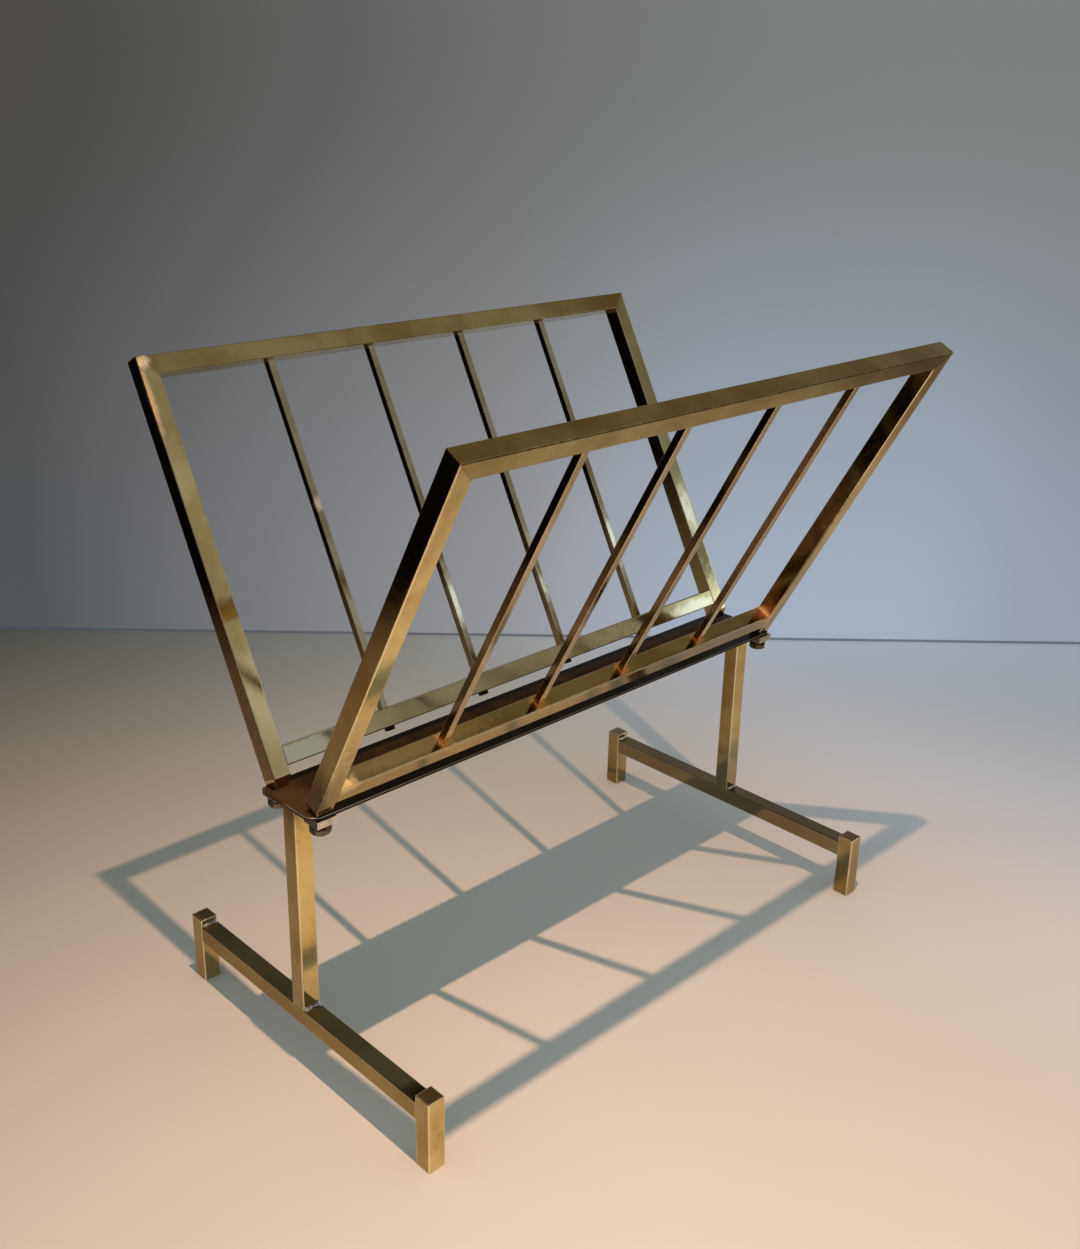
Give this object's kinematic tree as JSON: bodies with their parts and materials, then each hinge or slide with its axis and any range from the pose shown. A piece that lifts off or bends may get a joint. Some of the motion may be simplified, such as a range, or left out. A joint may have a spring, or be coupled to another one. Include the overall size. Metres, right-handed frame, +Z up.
{
  "type": "magazine rack",
  "caption": "Square-tube brass magazine rack: two leaning barred frames bolted in a V to a narrow base plate on T-shaped legs.",
  "frame": {"origin": "on the floor, under the middle of the rack", "axes": "+X along the rack, +Y towards the rear frame, +Z up; the front frame leans towards -Y and the rear frame towards +Y"},
  "size_m": [0.428, 0.2984, 0.4209],
  "materials": {
    "brass": "satin polished, lightly aged, with bright worn edges",
    "dark_brass": "dark brown patina, glossy",
    "steel": "dull zinc plate"
  },
  "bodies": {
    "root": {"base_plate": "dark_brass", "front_left_stile": "brass", "front_right_stile": "brass", "front_top_rail": "brass", "front_bottom_rail": "brass", "front_bar_1": "brass", "front_bar_2": "brass", "front_bar_3": "brass", "front_bar_4": "brass", "rear_left_stile": "brass", "rear_right_stile": "brass", "rear_top_rail": "brass", "rear_bottom_rail": "brass", "rear_bar_1": "brass", "rear_bar_2": "brass", "rear_bar_3": "brass", "rear_bar_4": "brass", "front_left_shoe": "brass", "front_right_shoe": "brass", "rear_left_shoe": "brass", "rear_right_shoe": "brass", "left_post": "brass", "right_post": "brass", "left_crossbar": "brass", "right_crossbar": "brass", "left_front_foot": "brass", "left_rear_foot": "brass", "right_front_foot": "brass", "right_rear_foot": "brass", "square_washers": "steel", "hex_bolts": "steel"}
  },
  "joints": []
}
